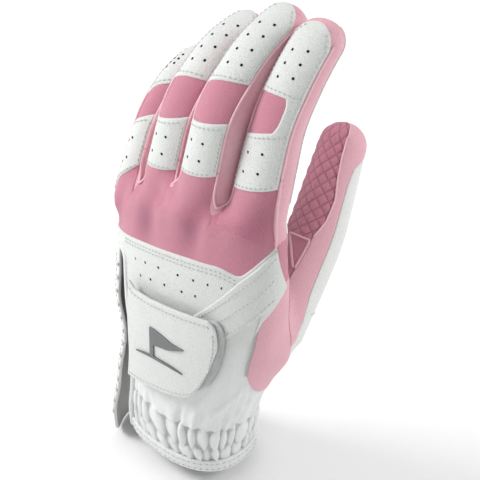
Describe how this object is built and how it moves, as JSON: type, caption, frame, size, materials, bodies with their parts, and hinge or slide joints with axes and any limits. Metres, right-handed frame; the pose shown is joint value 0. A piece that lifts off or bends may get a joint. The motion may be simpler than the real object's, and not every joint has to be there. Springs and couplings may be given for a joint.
{
  "type": "golf glove",
  "caption": "Left-hand golf glove with leather palm, knit knuckles, perforated leather overlays, jointed fingers and thumb, shirred elastic cuff and a hook-and-loop closure tab.",
  "frame": {"origin": "centre of the hand opening at the cuff hem", "axes": "+Z from the cuff towards the fingertips, +X towards the thumb side, +Y towards the palm side"},
  "size_m": [0.0762, 0.086, 0.1774],
  "materials": {
    "white_leather": "fine-grained, semi-matt",
    "palm_leather": "soft matt",
    "pink_leather": "matt",
    "pink_knit": "fine stretch knit",
    "closure_pile": "brushed loops and hooks",
    "grey_emblem": "satin raised"
  },
  "bodies": {
    "hand": {"cuff_hem": "white_leather", "cuff_gather": "white_leather", "wrist_back_panel": "white_leather", "perforated_back_panel": "white_leather", "knuckle_panel": "pink_knit", "thumb_side_panel": "pink_leather", "diagonal_strap": "white_leather", "loop_patch": "closure_pile", "slit_binding": "white_leather", "palm_panel": "palm_leather", "heel_flap": "palm_leather", "thumb_root_back": "pink_leather", "thumb_root_palm": "palm_leather"},
    "closure_tab": {"tab_cover": "white_leather", "hook_patch": "closure_pile", "tab_emblem": "grey_emblem"},
    "index_proximal": {"index_knuckle_lobe": "pink_knit", "index_proximal_back": "white_leather", "index_proximal_palm": "palm_leather", "index_fourchette_radial": "pink_leather", "index_fourchette_ulnar": "pink_leather"},
    "index_distal": {"index_joint_patch": "pink_knit", "index_distal_back": "white_leather", "index_distal_palm": "palm_leather", "index_distal_side": "pink_leather"},
    "middle_proximal": {"middle_knuckle_lobe": "pink_knit", "middle_proximal_back": "white_leather", "middle_proximal_palm": "palm_leather", "middle_fourchette_radial": "pink_leather", "middle_fourchette_ulnar": "pink_leather"},
    "middle_distal": {"middle_joint_patch": "pink_knit", "middle_distal_back": "white_leather", "middle_distal_palm": "palm_leather", "middle_distal_side": "pink_leather"},
    "ring_proximal": {"ring_knuckle_lobe": "pink_knit", "ring_proximal_back": "white_leather", "ring_proximal_palm": "palm_leather", "ring_fourchette_radial": "pink_leather", "ring_fourchette_ulnar": "pink_leather"},
    "ring_distal": {"ring_joint_patch": "pink_knit", "ring_distal_back": "white_leather", "ring_distal_palm": "palm_leather", "ring_distal_side": "pink_leather"},
    "little_proximal": {"little_knuckle_lobe": "pink_knit", "little_proximal_back": "white_leather", "little_proximal_palm": "palm_leather", "little_fourchette_radial": "pink_leather", "little_fourchette_ulnar": "pink_leather"},
    "little_distal": {"little_joint_patch": "pink_knit", "little_distal_back": "white_leather", "little_distal_palm": "palm_leather", "little_distal_side": "pink_leather"},
    "thumb_proximal": {"thumb_proximal_quilt": "pink_leather", "web_gusset": "pink_leather", "thumb_proximal_band": "pink_leather", "thumb_proximal_palm": "palm_leather"},
    "thumb_distal": {"thumb_distal_quilt": "pink_leather", "thumb_distal_band": "pink_leather", "thumb_distal_palm": "palm_leather"}
  },
  "joints": [
    {"name": "tab_peel", "type": "hinge", "parent": "hand", "child": "closure_tab", "pos_m": [-0.02098, -0.01402, 0.04753], "axis": [0.1788, -0.0894, -0.9798], "range_deg": [0, 120]},
    {"name": "index_knuckle", "type": "hinge", "parent": "hand", "child": "index_proximal", "pos_m": [0.02723, 0.01192, 0.11057], "axis": [-0.9992, 0, 0.0401], "range_deg": [-8, 40], "deforming": ["index_knuckle_lobe"]},
    {"name": "index_middle_joint", "type": "hinge", "parent": "index_proximal", "child": "index_distal", "pos_m": [0.0285, 0.01836, 0.14233], "axis": [-0.9992, 0, 0.0401], "range_deg": [-18, 45], "deforming": ["index_joint_patch"]},
    {"name": "middle_knuckle", "type": "hinge", "parent": "hand", "child": "middle_proximal", "pos_m": [0.00639, 0.00726, 0.10869], "axis": [-0.9928, 0, 0.1201], "range_deg": [-8, 40], "deforming": ["middle_knuckle_lobe"]},
    {"name": "middle_middle_joint", "type": "hinge", "parent": "middle_proximal", "child": "middle_distal", "pos_m": [0.01033, 0.01061, 0.14125], "axis": [-0.9928, 0, 0.1201], "range_deg": [-18, 45], "deforming": ["middle_joint_patch"]},
    {"name": "ring_knuckle", "type": "hinge", "parent": "hand", "child": "ring_proximal", "pos_m": [-0.01234, 0.00872, 0.10185], "axis": [-0.9928, 0, 0.1201], "range_deg": [-8, 40], "deforming": ["ring_knuckle_lobe"]},
    {"name": "ring_middle_joint", "type": "hinge", "parent": "ring_proximal", "child": "ring_distal", "pos_m": [-0.00859, 0.01308, 0.13281], "axis": [-0.9928, 0, 0.1201], "range_deg": [-18, 45], "deforming": ["ring_joint_patch"]},
    {"name": "little_knuckle", "type": "hinge", "parent": "hand", "child": "little_proximal", "pos_m": [-0.03001, 0.00873, 0.09062], "axis": [-0.9988, 0, 0.0489], "range_deg": [-8, 40], "deforming": ["little_knuckle_lobe"]},
    {"name": "little_middle_joint", "type": "hinge", "parent": "little_proximal", "child": "little_distal", "pos_m": [-0.02875, 0.01763, 0.11638], "axis": [-0.9988, 0, 0.0489], "range_deg": [-18, 45], "deforming": ["little_joint_patch"]},
    {"name": "thumb_knuckle", "type": "hinge", "parent": "hand", "child": "thumb_proximal", "pos_m": [0.01694, 0.03228, 0.06486], "axis": [-0.7954, -0.4526, 0.4031], "range_deg": [-9, 28]},
    {"name": "thumb_middle_joint", "type": "hinge", "parent": "thumb_proximal", "child": "thumb_distal", "pos_m": [0.01502, 0.04628, 0.08068], "axis": [-0.7701, -0.5786, 0.2687], "range_deg": [-10, 40]}
  ]
}
